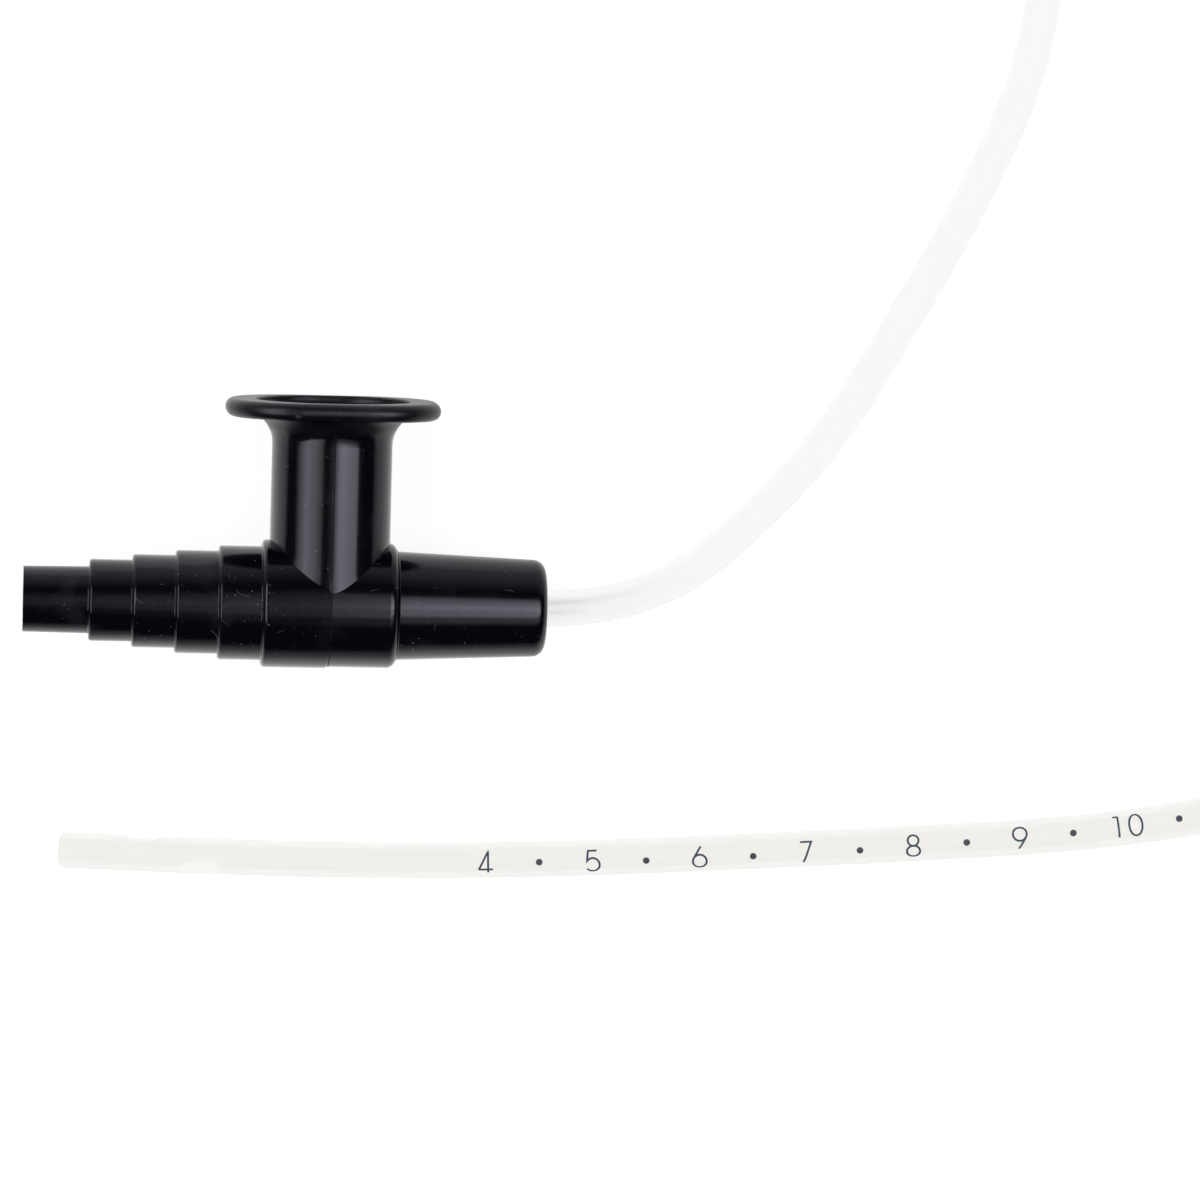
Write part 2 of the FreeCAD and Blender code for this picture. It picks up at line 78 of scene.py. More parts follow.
def bake_modifiers(obj):
    """Makes what an object's modifiers show its own mesh."""
    bpy.context.view_layer.update()
    shown = obj.evaluated_get(bpy.context.evaluated_depsgraph_get())
    finished = bpy.data.meshes.new_from_object(shown)
    obj.modifiers.clear()
    obj.data = finished


# Camera: above the table, looking straight down, turned a little.

CAMERA_PLACE = (29.26 * MM, -5.95 * MM, 570 * MM)
CAMERA_TURN = math.radians(1.1)
SENSOR_WIDTH, FOCAL_LENGTH = 36.0, 181.9                    # in millimetres
NEAR_CLIP, FAR_CLIP = 0.01, 20.0

camera_data = bpy.data.cameras.new("camera")
camera_data.sensor_width = SENSOR_WIDTH
camera_data.lens = FOCAL_LENGTH
camera_data.clip_start = NEAR_CLIP
camera_data.clip_end = FAR_CLIP
camera = link(bpy.data.objects.new("camera", camera_data))
camera.location = CAMERA_PLACE
camera.rotation_euler = (0.0, 0.0, CAMERA_TURN)
scene.camera = camera
scene.view_settings.view_transform = "Standard"

# The tube's middle line, read from a smooth spline that follows the route.

SPLINE_STEPS = 24           # points for each part of the spline
SAME_PLACE = 1e-9           # points closer than this are one


def spline_points(control):
    """Points along a smooth spline that is led by the control points."""
    data = bpy.data.curves.new("route", "CURVE")
    data.dimensions = "3D"
    spline = data.splines.new("NURBS")
    spline.points.add(len(control) - 1)
    for point, place in zip(spline.points, control):
        point.co = (*(value * MM for value in place), 1.0)
    spline.order_u = 3
    spline.use_endpoint_u = True
    spline.resolution_u = SPLINE_STEPS
    curve = link(bpy.data.objects.new("route", data))
    bpy.context.view_layer.update()
    mesh = bpy.data.meshes.new_from_object(curve)
    points = np.array([vertex.co for vertex in mesh.vertices], float)
    bpy.data.objects.remove(curve)
    bpy.data.curves.remove(data)
    bpy.data.meshes.remove(mesh)
    return points


class Line:
    """A middle line with its length, and places and directions along it."""

    def __init__(self, points):
        steps = np.linalg.norm(np.diff(points, axis=0), axis=1)
        keep = np.concatenate(([True], steps > SAME_PLACE))
        self.points = points[keep]
        steps = np.linalg.norm(np.diff(self.points, axis=0), axis=1)
        self.along = np.concatenate(([0.0], np.cumsum(steps)))
        self.length = self.along[-1]
        runs = np.diff(self.points, axis=0) / steps[:, None]
        turns = np.vstack((runs[:1], (runs[1:] + runs[:-1]) / 2, runs[-1:]))
        self.turns = turns / np.linalg.norm(turns, axis=1)[:, None]

    def at(self, distance):
        """Middle, direction, sideways and upward vectors at distances from the start.

        The line runs straight on past its ends."""
        middle = np.stack([np.interp(distance, self.along, self.points[:, k])
                           for k in range(3)], axis=-1)
        ahead = np.stack([np.interp(distance, self.along, self.turns[:, k])
                          for k in range(3)], axis=-1)
        ahead /= np.linalg.norm(ahead, axis=-1)[..., None]
        past = np.asarray(distance) - np.clip(distance, 0.0, self.length)
        middle = middle + ahead * past[..., None]
        side = np.cross(np.array((0.0, 0.0, 1.0)), ahead)
        side /= np.linalg.norm(side, axis=-1)[..., None]
        up = np.cross(ahead, side)
        return middle, ahead, side, up


line = Line(spline_points(ROUTE))
FREE = line.length          # from the nozzle's end to the tip


def on_skin(from_tip, turn, radius):
    """Points of the tube's skin at distances from its tip and turns from its top.

    The turn grows to the left of one who looks from the tip to the nozzle."""
    middle, ahead, side, up = line.at(FREE - np.asarray(from_tip))
    turn = np.asarray(turn)[..., None]
    return middle + (up * np.cos(turn) - side * np.sin(turn)) * np.asarray(radius)[..., None]


def ring_mesh(name, rings):
    """A mesh from rings of points, with the last ring joined to the first."""
    count, sides = rings.shape[:2]
    index = np.arange(count * sides).reshape(count, sides)
    above = np.roll(index, -1, axis=0)
    faces = np.stack((index, np.roll(index, -1, axis=1), np.roll(above, -1, axis=1), above), axis=-1)
    mesh = bpy.data.meshes.new(name)
    mesh.from_pydata(rings.reshape(-1, 3).tolist(), [], faces.reshape(-1, 4).tolist())
    mesh.validate()
    return mesh


# Tube: an outer wall, a rounded tip, the lumen's wall and the end in the socket.

SIDES = 40
COARSE_STEP = 1.0 * MM
FINE_STEP, FINE_LENGTH = 0.35 * MM, 22.0 * MM               # from the tip to past the side eyes
SOCKET_RINGS, TIP_RINGS = 7, 5


def tube_stations():
    """Distances from the tip and radii of the rings, once round the wall's section."""
    fine = np.arange(TIP_SLOPE, FINE_LENGTH, FINE_STEP)
    coarse = np.linspace(FINE_LENGTH, FREE, int((FREE - FINE_LENGTH) / COARSE_STEP))
    inside = np.linspace(FREE, FREE + SOCKET_DEPTH, SOCKET_RINGS + 1)[1:]
    wall = np.concatenate((fine, coarse, inside))
    slopes = np.linspace(0.0, math.pi / 2, TIP_RINGS + 1)[1:]
    tip = [(TIP_SLOPE * (1 - math.sin(a)), TUBE_RADIUS - TIP_ROUND * (1 - math.cos(a))) for a in slopes]
    outer = [(distance, TUBE_RADIUS) for distance in wall[::-1]]
    inner = [(0.0, LUMEN_RADIUS + LUMEN_CHAMFER), (LUMEN_CHAMFER, LUMEN_RADIUS)]
    inner += [(distance, LUMEN_RADIUS) for distance in wall]
    return np.array(outer + tip + inner)


stations = tube_stations()
around = np.linspace(0.0, 2 * math.pi, SIDES, endpoint=False)
distances, turns = np.meshgrid(stations[:, 0], around, indexing="ij")
skin = on_skin(distances, turns, np.broadcast_to(stations[:, 1:], turns.shape))
tube = link(bpy.data.objects.new("tube", ring_mesh("tube", skin)))

# Side eyes, cut through one wall each. Distances from the tip, turns from the
# top: the first towards the connector's side, the second away from it.

EYES = [("eye_one", 7.7 * MM, math.radians(84.0)), ("eye_two", 13.3 * MM, math.radians(-52.0))]
EYE_HALF_LENGTH, EYE_HALF_WIDTH, EYE_SINK = 1.85 * MM, 1.15 * MM, 1.2 * MM
CUTTER_RINGS, CUTTER_SIDES = 31, 64


def eye_cutter(name, from_tip, turn):
    """An ellipsoid centred on the tube's skin."""
    place = Vector(on_skin(from_tip, turn, TUBE_RADIUS))
    middle, ahead = (Vector(v) for v in line.at(FREE - from_tip)[:2])
    outward = (place - middle).normalized()
    across = outward.cross(ahead)
    rows, sides = CUTTER_RINGS, CUTTER_SIDES
    polar = np.linspace(0.0, math.pi, rows + 2)[1:-1]
    turnings = np.linspace(0.0, 2 * math.pi, sides, endpoint=False)
    verts = [place + outward * EYE_SINK * math.cos(p) + (
        ahead * EYE_HALF_LENGTH * math.cos(t) + across * EYE_HALF_WIDTH * math.sin(t)) * math.sin(p)
        for p in polar for t in turnings]
    verts += [place + outward * EYE_SINK, place - outward * EYE_SINK]
    faces = []
    for r in range(rows - 1):
        for s in range(sides):
            n = (s + 1) % sides
            faces.append((r * sides + s, (r + 1) * sides + s, (r + 1) * sides + n, r * sides + n))
    top, bottom = rows * sides, rows * sides + 1
    for s in range(sides):
        n = (s + 1) % sides
        faces.append((top, s, n))
        faces.append((bottom, (rows - 1) * sides + n, (rows - 1) * sides + s))
    mesh = bpy.data.meshes.new(name)
    mesh.from_pydata([tuple(v) for v in verts], [], faces)
    return link(bpy.data.objects.new(name, mesh))


def face_outward(mesh):
    """Turns the faces so that the closed mesh has a positive volume."""
    mesh.update()
    points = np.array([v.co for v in mesh.vertices])
    volume = 0.0
    mesh.calc_loop_triangles()
    for triangle in mesh.loop_triangles:
        a, b, c = points[list(triangle.vertices)]
        volume += np.dot(a, np.cross(b, c))
    if volume < 0:
        mesh.flip_normals()


face_outward(tube.data)
cutters = []
for name, from_tip, turn in EYES:
    cutter = eye_cutter(name, from_tip, turn)
    face_outward(cutter.data)
    cutters.append(cutter)
    cut = tube.modifiers.new(name, "BOOLEAN")
    cut.operation = "DIFFERENCE"
    cut.solver = "EXACT"
    cut.object = cutter
bake_modifiers(tube)
for cutter in cutters:
    bpy.data.objects.remove(cutter)

SHARP_ANGLE = math.radians(20.0)
tube.data.shade_smooth()
tube.data.set_sharp_from_angle(angle=SHARP_ANGLE)

# Printed marks: centimetre numbers and a dot at each half centimetre.

DIGIT_HEIGHT = 2.08 * MM
DIGIT_WIDTH = 1.40 * MM
DIGIT_PITCH = 1.28 * DIGIT_WIDTH
STROKE = 0.19 * MM
STROKE_STEP = 0.15 * MM     # longest step along a stroke, so that it bends with the skin
SHARPEST_MITRE = 0.45       # limits how far a stroke's corner reaches out
LIFT = 0.012 * MM           # height of the ink above the tube's skin
DOT_RADIUS = 0.315 * MM
FIRST_NUMBER, LAST_NUMBER = 4, 25


def arc(x, y, rx, ry, start, end, steps):
    """Points on an oval arc, angles in degrees from the right, counterclockwise."""
    return [(x + rx * math.cos(math.radians(a)), y + ry * math.sin(math.radians(a)))
            for a in np.linspace(start, end, steps)]


# Strokes of each digit in a box 1 wide and 1 high, as points of a line.

GLYPHS = {
    "0": [arc(0.5, 0.5, 0.44, 0.5, 0, 360, 36)],
    "1": [[(0.28, 0.98), (0.62, 0.98)], [(0.62, 1.0), (0.62, 0.0)]],
    "2": [arc(0.5, 0.70, 0.38, 0.30, 165, -25, 18) + [(0.12, 0.0)], [(0.10, 0.02), (0.9, 0.02)]],
    "3": [arc(0.48, 0.75, 0.34, 0.25, 150, -90, 16), arc(0.48, 0.26, 0.38, 0.26, 90, -150, 18)],
    "4": [[(0.66, 0.0), (0.66, 1.0), (0.04, 0.17)], [(0.02, 0.17), (0.98, 0.17)]],
    "5": [[(0.78, 0.98), (0.20, 0.98), (0.12, 0.50)] + arc(0.50, 0.32, 0.46, 0.32, 141, -145, 22)],
    "6": [arc(0.5, 0.31, 0.46, 0.31, 0, 360, 32), [(0.13, 0.50), (0.60, 1.0)]],
    "7": [[(0.10, 0.98), (0.84, 0.98), (0.28, 0.0)]],
    "8": [arc(0.5, 0.755, 0.36, 0.245, 0, 360, 28), arc(0.5, 0.26, 0.44, 0.26, 0, 360, 32)],
    "9": [arc(0.5, 0.69, 0.46, 0.31, 0, 360, 32), [(0.87, 0.50), (0.40, 0.0)]],
}

# The line of print winds slowly round the tube: distance from the tip in
# millimetres, and degrees from the top, positive to the left. The dots were
# printed a little further over than the numbers.

NUMBER_WIND = [(40, -5.9), (50, -9.1), (60, -9.8), (70, -9.4), (80, -6.3), (90, 0.0),
               (100, 7.7), (120, 14.0)]
DOT_WIND = [(45, -7.7), (55, -13.3), (65, -14.0), (75, -11.5), (85, -3.5), (95, 2.8), (120, 13.0)]


def wound(wind, from_tip):
    """Turn of a line of print at a distance from the tip."""
    places, turns = zip(*wind)
    return math.radians(np.interp(from_tip / MM, places, turns))


def ribbon(points, width):
    """Left and right edges of a line of an even width, mitred at its corners."""
    p = np.array(points, float)
    closed = np.linalg.norm(p[0] - p[-1]) < SAME_PLACE
    runs = np.diff(p, axis=0)
    runs /= np.linalg.norm(runs, axis=1)[:, None]
    normal = np.stack((-runs[:, 1], runs[:, 0]), axis=1)
    first = normal[-1:] if closed else normal[:1]
    last = normal[:1] if closed else normal[-1:]
    mid = np.vstack((first, normal)) + np.vstack((normal, last))
    mid /= np.linalg.norm(mid, axis=1)[:, None]
    spread = np.maximum(np.sum(mid * np.vstack((normal, last)), axis=1), SHARPEST_MITRE)
    offset = mid * (width / 2 / spread)[:, None]
    return p + offset, p - offset


def subdivided(points, longest):
    """The same line with no step longer than the given one."""
    result = [points[0]]
    for a, b in zip(points, points[1:]):
        pieces = max(1, math.ceil(math.dist(a, b) / longest))
        result += [(a[0] + (b[0] - a[0]) * k / pieces, a[1] + (b[1] - a[1]) * k / pieces)
                   for k in range(1, pieces + 1)]
    return result


def printed(flat, from_tip, turn):
    """Flat points, x towards the nozzle and y to the left, laid on the skin."""
    flat = np.asarray(flat)
    return on_skin(from_tip + flat[..., 0], turn + flat[..., 1] / TUBE_RADIUS,
                   np.full(flat.shape[:-1], TUBE_RADIUS + LIFT))


def number_mesh():
    """All printed numbers as one mesh of ribbons on the tube's skin."""
    verts, faces = [], []
    for number in range(FIRST_NUMBER, LAST_NUMBER + 1):
        from_tip = number * CENTIMETRE
        turn = wound(NUMBER_WIND, from_tip)
        text = str(number)
        for place, digit in enumerate(text):
            shift = (place - (len(text) - 1) / 2) * DIGIT_PITCH
            for stroke in GLYPHS[digit]:
                flat = [(shift + (x - 0.5) * DIGIT_WIDTH, (y - 0.5) * DIGIT_HEIGHT) for x, y in stroke]
                left, right = ribbon(subdivided(flat, STROKE_STEP), STROKE)
                base = len(verts)
                across = np.stack((left, (left + right) / 2, right), axis=1)
                verts += printed(across, from_tip, turn).reshape(-1, 3).tolist()
                for s in range(base, len(verts) - 3, 3):
                    faces += [(s, s + 1, s + 4, s + 3), (s + 1, s + 2, s + 5, s + 4)]
    mesh = bpy.data.meshes.new("numbers")
    mesh.from_pydata(verts, [], faces)
    mesh.update()
    return mesh


numbers = link(bpy.data.objects.new("printed_numbers", number_mesh()))

# Materials. Their trees are built with the helpers below.


def principled(name, **values):
    """A material and its Principled shader, with some of its inputs set."""
    material = bpy.data.materials.new(name)
    material.use_nodes = True
    shader = material.node_tree.nodes["Principled BSDF"]
    for key, value in values.items():
        shader.inputs[key.replace("_", " ")].default_value = value
    return material, shader


def dress(obj, material):
    """Gives a piece one material."""
    obj.data.materials.clear()
    obj.data.materials.append(material)


def feed(tree, socket, value):
    """Gives a socket a plain value, or joins another socket to it."""
    if isinstance(value, bpy.types.NodeSocket):
        tree.links.new(value, socket)
    else:
        socket.default_value = value


def worked_out(tree, kind, operation, values):
    """The node of an operation on sockets and plain values."""
    node = tree.nodes.new(kind)
    node.operation = operation
    for socket, value in zip(node.inputs, values):
        feed(tree, socket, value)
    return node


def reckon(tree, operation, *values):
    """A figure worked out from sockets and numbers."""
    return worked_out(tree, "ShaderNodeMath", operation, values).outputs[0]


def reckon_vector(tree, operation, *values):
    """A vector worked out from sockets and vectors."""
    return worked_out(tree, "ShaderNodeVectorMath", operation, values).outputs["Vector"]


def measure(tree, operation, *values):
    """A figure worked out from sockets and vectors."""
    return worked_out(tree, "ShaderNodeVectorMath", operation, values).outputs["Value"]


def product(tree, result, *others):
    """Sockets and numbers multiplied in turn."""
    for other in others:
        result = reckon(tree, "MULTIPLY", result, other)
    return result


def spread_between(tree, value, low, high, first, last):
    """A value stretched from one range to another and held at its ends."""
    node = tree.nodes.new("ShaderNodeMapRange")
    settings = {"From Min": low, "From Max": high, "To Min": first, "To Max": last}
    for name, setting in settings.items():
        node.inputs[name].default_value = setting
    tree.links.new(value, node.inputs["Value"])
    return node.outputs["Result"]


def mixed_colour(tree, factor, first, second):
    """A colour between two, led by a socket. Each may be a socket or plain."""
    node = tree.nodes.new("ShaderNodeMix")
    node.data_type = "RGBA"
    for name, colour in (("A", first), ("B", second)):
        feed(tree, node.inputs[name], (*colour, 1.0) if isinstance(colour, tuple) else colour)
    tree.links.new(factor, node.inputs["Factor"])
    return node.outputs["Result"]


def object_place(tree):
    """The place of a point of the surface in the piece's own coordinates."""
    return tree.nodes.new("ShaderNodeTexCoord").outputs["Object"]


def axes_of(tree, vector):
    """The X, Y and Z of a vector."""
    node = tree.nodes.new("ShaderNodeSeparateXYZ")
    tree.links.new(vector, node.inputs[0])
    return node.outputs


# Milky tube: a little shinier by the nozzle and warmer on the marked run. Grey
# streaks of painted shade, two narrow and one broad, leave the nozzle: they stand
# for the dark bore seen through the wall. They follow the bend of the tube and fade out.

TUBE_IOR, TUBE_CLEARNESS = 1.18, 0.97
TUBE_ROUGHNESS = (0.28, 0.32)                               # by the nozzle and far from it
NEAR_NOZZLE, FAR_FROM_NOZZLE = 3.0 * MM, 22.0 * MM
MARKED_RUN, FREE_RUN = -24.0 * MM, -6.0 * MM                # places on the table
MARKED_TINT, FREE_TINT = (0.955, 0.947, 0.92), (0.985, 0.985, 0.98)
BEND = 17.8                 # times the squared distance from the nozzle: how far the tube has turned aside
# Colour of the painted shade where the dark bore shows through the wall.
BORE_SHADE_TINT = (0.0, 0.0, 0.03)
# Each streak of painted shade: place across the tube, half width, reach, and strength.
PAINTED_BORE_STREAKS = [(0.5 * MM, 0.36 * MM, 10.0 * MM, 0.13), (-0.42 * MM, 0.26 * MM, 4.5 * MM, 0.14),
           (0.05 * MM, 1.5 * MM, 16.0 * MM, 0.05)]


def milky_tube():
    """The tube's milky plastic, with streaks of painted shade from the dark bore by the nozzle."""
    material, shader = principled("milky_tube", IOR=TUBE_IOR, Transmission_Weight=TUBE_CLEARNESS)
    tree = material.node_tree
    place = object_place(tree)
    sideways = axes_of(tree, place)["Y"]
    distance = measure(tree, "DISTANCE", place, tuple(line.points[0]))
    bend = product(tree, distance, distance, BEND)
    from_exit = reckon(tree, "SUBTRACT", sideways, float(line.points[0][1]))
    across = reckon(tree, "SUBTRACT", from_exit, bend)
    warmth = spread_between(tree, sideways, MARKED_RUN, FREE_RUN, 0.0, 1.0)
    tint = mixed_colour(tree, warmth, MARKED_TINT, FREE_TINT)
    # Each streak paints the shade of the dark bore into the tube's colour.
    for middle, half_width, reach, strength in PAINTED_BORE_STREAKS:
        off_painted_streak = reckon(tree, "ABSOLUTE", reckon(tree, "SUBTRACT", across, middle))
        painted_streak = product(tree, spread_between(tree, off_painted_streak, 0.0, half_width, strength, 0.0),
                         spread_between(tree, distance, 0.0, reach, 1.0, 0.0))
        tint = mixed_colour(tree, painted_streak, tint, BORE_SHADE_TINT)
    frosting = spread_between(tree, distance, NEAR_NOZZLE, FAR_FROM_NOZZLE, *TUBE_ROUGHNESS)
    tree.links.new(tint, shader.inputs["Base Color"])
    tree.links.new(frosting, shader.inputs["Roughness"])
    return material


NUMBER_INK, DOT_INK = (0.032, 0.058, 0.105), (0.058, 0.06, 0.082)
INK_ROUGHNESS = 0.6


def ink(name, colour):
    """A matt ink."""
    return principled(name, Base_Color=(*colour, 1.0), Roughness=INK_ROUGHNESS)[0]


dress(tube, milky_tube())
dress(numbers, ink("number_ink", NUMBER_INK))
dot_ink = ink("dot_ink", DOT_INK)


# Dots at the half centimetres: one small curved disc laid on the skin per point.

DOT_CORNERS = 28


def dot_group():
    """A node group that lays a disc, bent to the tube's skin, on every point."""
    tree = bpy.data.node_groups.new("printed_dots", "GeometryNodeTree")
    tree.is_modifier = True
    for name, way, kind in (("Geometry", "INPUT", "Geometry"), ("Dot Radius", "INPUT", "Float"),
                            ("Skin Radius", "INPUT", "Float"), ("Ink", "INPUT", "Material"),
                            ("Geometry", "OUTPUT", "Geometry")):
        tree.interface.new_socket(name, in_out=way, socket_type="NodeSocket" + kind)
    new, join = tree.nodes.new, tree.links.new
    given, result = new("NodeGroupInput"), new("NodeGroupOutput")
    disc = new("GeometryNodeMeshCircle")
    disc.fill_type = "TRIANGLE_FAN"
    disc.inputs["Vertices"].default_value = DOT_CORNERS
    join(given.outputs["Dot Radius"], disc.inputs["Radius"])
    radius = given.outputs["Skin Radius"]
    across = axes_of(tree, new("GeometryNodeInputPosition").outputs[0])["Y"]
    square = reckon(tree, "SUBTRACT", product(tree, radius, radius), product(tree, across, across))
    drop = new("ShaderNodeCombineXYZ")
    join(reckon(tree, "SUBTRACT", reckon(tree, "SQRT", square), radius), drop.inputs["Z"])
    bent = new("GeometryNodeSetPosition")
    join(disc.outputs["Mesh"], bent.inputs["Geometry"])
    join(drop.outputs[0], bent.inputs["Offset"])
    turn = new("FunctionNodeAxesToRotation")
    turn.primary_axis, turn.secondary_axis = "Z", "X"
    for name, socket in (("outward", turn.inputs[0]), ("ahead", turn.inputs[1])):
        reading = new("GeometryNodeInputNamedAttribute")
        reading.data_type = "FLOAT_VECTOR"
        reading.inputs["Name"].default_value = name
        join(reading.outputs["Attribute"], socket)
    laid = new("GeometryNodeInstanceOnPoints")
    join(given.outputs["Geometry"], laid.inputs["Points"])
    join(bent.outputs["Geometry"], laid.inputs["Instance"])
    join(turn.outputs[0], laid.inputs["Rotation"])
    real = new("GeometryNodeRealizeInstances")
    join(laid.outputs["Instances"], real.inputs["Geometry"])
    inked = new("GeometryNodeSetMaterial")
    join(real.outputs["Geometry"], inked.inputs["Geometry"])
    join(given.outputs["Ink"], inked.inputs["Material"])
    join(inked.outputs["Geometry"], result.inputs["Geometry"])
    return tree


def dots_object():
    """The printed dots as one finished mesh."""
    from_tip = (np.arange(FIRST_NUMBER, LAST_NUMBER) + 0.5) * CENTIMETRE
    turns = np.array([wound(DOT_WIND, place) for place in from_tip])
    points = on_skin(from_tip, turns, np.full(len(turns), TUBE_RADIUS + LIFT))
    middle, ahead = line.at(FREE - from_tip)[:2]
    outward = points - middle
    outward /= np.linalg.norm(outward, axis=1)[:, None]
    mesh = bpy.data.meshes.new("dots")
    mesh.from_pydata(points.tolist(), [], [])
    for name, values in (("ahead", ahead), ("outward", outward)):
        mesh.attributes.new(name, "FLOAT_VECTOR", "POINT").data.foreach_set("vector", values.ravel())
    obj = link(bpy.data.objects.new("printed_dots", mesh))
    modifier = obj.modifiers.new("dots", "NODES")
    modifier.node_group = dot_group()
    values = {"Dot Radius": DOT_RADIUS, "Skin Radius": TUBE_RADIUS + LIFT, "Ink": dot_ink}
    for item in modifier.node_group.interface.items_tree:
        if item.in_out == "INPUT" and item.name in values:
            modifier[item.identifier] = values[item.name]
    bake_modifiers(obj)
    return obj


dots = dots_object()
for soft_piece in (tube, numbers, dots):
    soft_piece.visible_glossy = False       # the plastic is too soft a mirror to show them

# Black plastic: glossy and almost black, satin on the flange, with the mould's
# parting line across its middle, fine tooling lines, smudges, dust and hairs.

FLANGE_FOOT = 16.2 * MM     # height of the flange's underside along the chimney
SATIN_EDGE = 0.3 * MM       # the flange turns satin within this distance of its foot
LINE_HALF_WIDTH = 0.07 * MM
CLEAN_BLACK, SMUDGED_BLACK = (0.0014, 0.0015, 0.0032), (0.009, 0.009, 0.013)
DUST_GREY = (0.3, 0.3, 0.32)
SHINE_TINT = (0.88, 0.87, 1.0, 1.0)
BARE_ROUGHNESS = 0.14
FLANGE_ROUGHNESS, TOOLING_ROUGHNESS, LINE_ROUGHNESS = 0.2, 0.05, 0.35   # added to the bare one
BARE_SHINE, LINE_DULLNESS = 0.5, 0.35

# Cloudy patterns: noise per metre along each axis, its low and its high end.

TOOLING_LINES = (7000.0, 500.0, 500.0), 0.45, 0.75
SMUDGES = (230.0, 230.0, 230.0), 0.56, 0.74
DUST_PATCHES = (160.0, 160.0, 160.0), 0.42, 0.56
HAIR_PATCHES = (600.0, 600.0, 600.0), 0.62, 0.66

SPECKS_PER_METRE, SPECK_EDGE, SPECK_CONTRAST = 1900.0, (0.05, 0.13), 1.5
HAIRS_PER_METRE, HAIR_EDGE, HAIR_STRENGTH = 300.0, (0.002, 0.009), 0.16

# The half of the body towards the barbs leans by its draft, up to the parting line.

DRAFT = 0.02
BODY_HALF_LENGTH = 6.29 * MM
BODY_EDGE, PARTING_EDGE = 0.05 * MM, 0.03 * MM
CHIMNEY_EDGE = (1.2 * MM, 2.2 * MM)


def noise(tree, place, stretch, low, high):
    """Cloudy patches, from nought where the noise is low to one where it is high."""
    clouds = tree.nodes.new("ShaderNodeTexNoise")
    clouds.inputs["Scale"].default_value = 1.0
    tree.links.new(reckon_vector(tree, "MULTIPLY", place, stretch), clouds.inputs["Vector"])
    return spread_between(tree, clouds.outputs["Fac"], low, high, 0.0, 1.0)


def dust_and_hairs(tree, place):
    """How much dust covers the plastic: specks in patches, and short curved hairs."""
    specks = tree.nodes.new("ShaderNodeTexVoronoi")
    specks.inputs["Scale"].default_value = SPECKS_PER_METRE
    tree.links.new(place, specks.inputs["Vector"])
    shade = tree.nodes.new("ShaderNodeSeparateColor")
    tree.links.new(specks.outputs["Color"], shade.inputs[0])
    dust = product(tree, spread_between(tree, specks.outputs["Distance"], *SPECK_EDGE, 1.0, 0.0),
                   reckon(tree, "POWER", shade.outputs[0], SPECK_CONTRAST),
                   noise(tree, place, *DUST_PATCHES))
    # A hair lies where a smooth noise crosses its middle.
    hairs = tree.nodes.new("ShaderNodeTexNoise")
    hairs.inputs["Scale"].default_value = HAIRS_PER_METRE
    hairs.inputs["Detail"].default_value = 0.0
    tree.links.new(place, hairs.inputs["Vector"])
    off_hair = reckon(tree, "ABSOLUTE", reckon(tree, "SUBTRACT", hairs.outputs["Fac"], 0.5))
    hair = product(tree, spread_between(tree, off_hair, *HAIR_EDGE, HAIR_STRENGTH, 0.0),
                   noise(tree, place, *HAIR_PATCHES))
    return reckon(tree, "MAXIMUM", dust, hair)


def leaning_normal(tree, along_barrel, along_chimney):
    """The surface's direction, leaned back by the draft on the body's barb half."""
    half = product(
        tree,
        spread_between(tree, along_barrel, -BODY_HALF_LENGTH - BODY_EDGE, -BODY_HALF_LENGTH, 0.0, 1.0),
        spread_between(tree, along_barrel, -PARTING_EDGE, PARTING_EDGE, 1.0, 0.0),
        spread_between(tree, along_chimney, *CHIMNEY_EDGE, 1.0, 0.0))
    lean = reckon_vector(tree, "MULTIPLY", -DRAFT * BARREL, half)
    normal = tree.nodes.new("ShaderNodeNewGeometry").outputs["Normal"]
    return reckon_vector(tree, "NORMALIZE", reckon_vector(tree, "ADD", normal, lean))


def black_plastic():
    """The connector's black plastic."""
    material, shader = principled("black_plastic", Specular_Tint=SHINE_TINT)
    tree = material.node_tree
    place = object_place(tree)
    from_crossing = reckon_vector(tree, "SUBTRACT", place, CROSSING)
    along_barrel = measure(tree, "DOT_PRODUCT", from_crossing, BARREL)
    along_chimney = measure(tree, "DOT_PRODUCT", from_crossing, CHIMNEY)
    flange = spread_between(tree, along_chimney, FLANGE_FOOT - SATIN_EDGE, FLANGE_FOOT + SATIN_EDGE, 0.0, 1.0)
    off_line = reckon(tree, "ABSOLUTE", along_barrel)
    parting = product(tree, spread_between(tree, off_line, LINE_HALF_WIDTH / 2, LINE_HALF_WIDTH, 1.0, 0.0),
                      reckon(tree, "SUBTRACT", 1.0, flange))
    tooling = noise(tree, place, *TOOLING_LINES)
    roughness = BARE_ROUGHNESS
    for share, more in ((flange, FLANGE_ROUGHNESS), (tooling, TOOLING_ROUGHNESS), (parting, LINE_ROUGHNESS)):
        roughness = reckon(tree, "ADD", roughness, product(tree, share, more))
    shine = reckon(tree, "SUBTRACT", BARE_SHINE, product(tree, parting, LINE_DULLNESS))
    colour = mixed_colour(tree, noise(tree, place, *SMUDGES), CLEAN_BLACK, SMUDGED_BLACK)
    colour = mixed_colour(tree, dust_and_hairs(tree, place), colour, DUST_GREY)
    normal = leaning_normal(tree, along_barrel, along_chimney)
    found = {"Base Color": colour, "Roughness": roughness, "Specular IOR Level": shine, "Normal": normal}
    for name, socket in found.items():
        tree.links.new(socket, shader.inputs[name])
    return material


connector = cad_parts["connector_body"]
dress(connector, black_plastic())

# Table, lights and surroundings

WHITE = (1.0, 1.0, 1.0)


def empty_material(name):
    """A material, its tree and the socket for its surface."""
    material = bpy.data.materials.new(name)
    material.use_nodes = True
    tree = material.node_tree
    tree.nodes.clear()
    return material, tree, tree.nodes.new("ShaderNodeOutputMaterial").inputs["Surface"]


